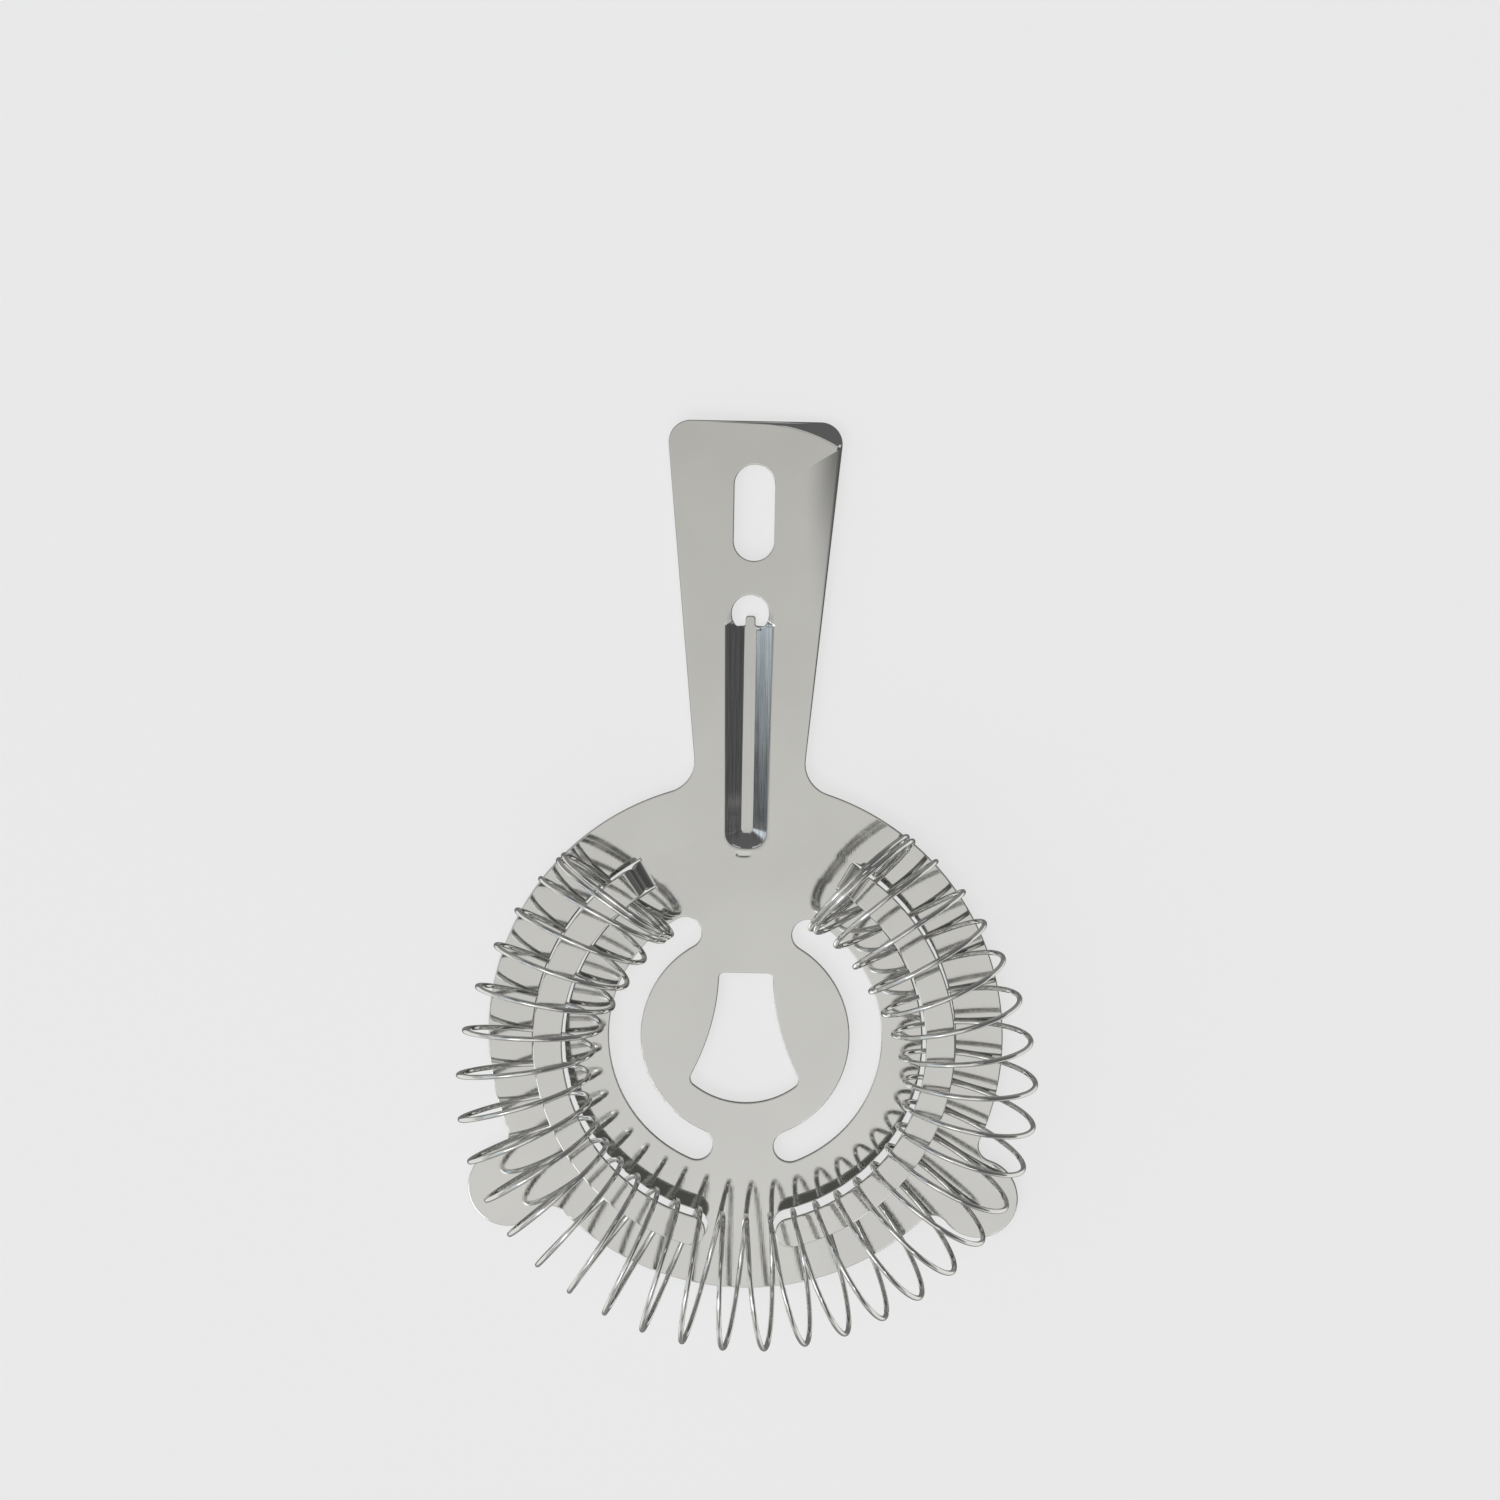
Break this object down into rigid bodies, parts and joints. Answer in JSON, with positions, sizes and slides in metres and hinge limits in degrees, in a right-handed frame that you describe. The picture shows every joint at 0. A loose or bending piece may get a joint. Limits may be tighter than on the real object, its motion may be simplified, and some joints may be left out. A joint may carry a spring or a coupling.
{
  "type": "hawthorne strainer",
  "caption": "Sheet-steel cocktail strainer: a slotted disc with a flat handle and two rest ears, and a removable coil spring threaded on raised tongues that squeezes into a mixing tin.",
  "frame": {"origin": "bottom centre of the whole strainer's box as it lies on its back, at the underside of the handle's rib", "axes": "+Y from the disc to the handle's end, +Z out of the plate's spring side, +X to the right seen from the spring side with the handle up"},
  "size_m": [0.1054, 0.1684, 0.028],
  "materials": {
    "plate_steel": "fine brushed stainless sheet, grain along the handle",
    "spring_steel": "bright drawn stainless wire"
  },
  "bodies": {
    "plate": {"plate": "plate_steel"},
    "spring_front": {"spring_front": "spring_steel"},
    "spring_right_1": {"spring_right_1": "spring_steel"},
    "spring_right_2": {"spring_right_2": "spring_steel"},
    "spring_right_3": {"spring_right_3": "spring_steel"},
    "spring_right_4": {"spring_right_4": "spring_steel"},
    "spring_left_1": {"spring_left_1": "spring_steel"},
    "spring_left_2": {"spring_left_2": "spring_steel"},
    "spring_left_3": {"spring_left_3": "spring_steel"},
    "spring_left_4": {"spring_left_4": "spring_steel"}
  },
  "joints": [
    {"name": "front_squeeze", "type": "slide", "parent": "plate", "child": "spring_front", "axis": [0, 1, 0], "range_m": [0, 0.004], "stiffness_N_per_m": 400},
    {"name": "right_squeeze_1", "type": "slide", "parent": "spring_front", "child": "spring_right_1", "axis": [-0.9613, -0.2756, 0], "range_m": [0, 0.00226]},
    {"name": "right_squeeze_2", "type": "slide", "parent": "spring_right_1", "child": "spring_right_2", "axis": [-0.6691, -0.7431, 0], "range_m": [0, 0.00226]},
    {"name": "right_squeeze_3", "type": "slide", "parent": "spring_right_2", "child": "spring_right_3", "axis": [-0.1564, -0.9877, 0], "range_m": [0, 0.00239]},
    {"name": "right_squeeze_4", "type": "slide", "parent": "spring_right_3", "child": "spring_right_4", "axis": [0.9903, 0.1392, 0], "range_m": [0, 0.00405]},
    {"name": "left_squeeze_1", "type": "slide", "parent": "spring_front", "child": "spring_left_1", "axis": [0.9613, -0.2756, 0], "range_m": [0, 0.00226]},
    {"name": "left_squeeze_2", "type": "slide", "parent": "spring_left_1", "child": "spring_left_2", "axis": [0.6691, -0.7431, 0], "range_m": [0, 0.00226]},
    {"name": "left_squeeze_3", "type": "slide", "parent": "spring_left_2", "child": "spring_left_3", "axis": [0.1564, -0.9877, 0], "range_m": [0, 0.00239]},
    {"name": "left_squeeze_4", "type": "slide", "parent": "spring_left_3", "child": "spring_left_4", "axis": [-0.9903, 0.1392, 0], "range_m": [0, 0.00405]}
  ],
  "couplings": [
    {"joint": "right_squeeze_1", "follows": "front_squeeze", "ratio": 0.55127},
    {"joint": "right_squeeze_2", "follows": "front_squeeze", "ratio": 0.55127},
    {"joint": "right_squeeze_3", "follows": "front_squeeze", "ratio": 0.58474},
    {"joint": "right_squeeze_4", "follows": "front_squeeze", "ratio": 1},
    {"joint": "left_squeeze_1", "follows": "front_squeeze", "ratio": 0.55127},
    {"joint": "left_squeeze_2", "follows": "front_squeeze", "ratio": 0.55127},
    {"joint": "left_squeeze_3", "follows": "front_squeeze", "ratio": 0.58474},
    {"joint": "left_squeeze_4", "follows": "front_squeeze", "ratio": 1}
  ]
}
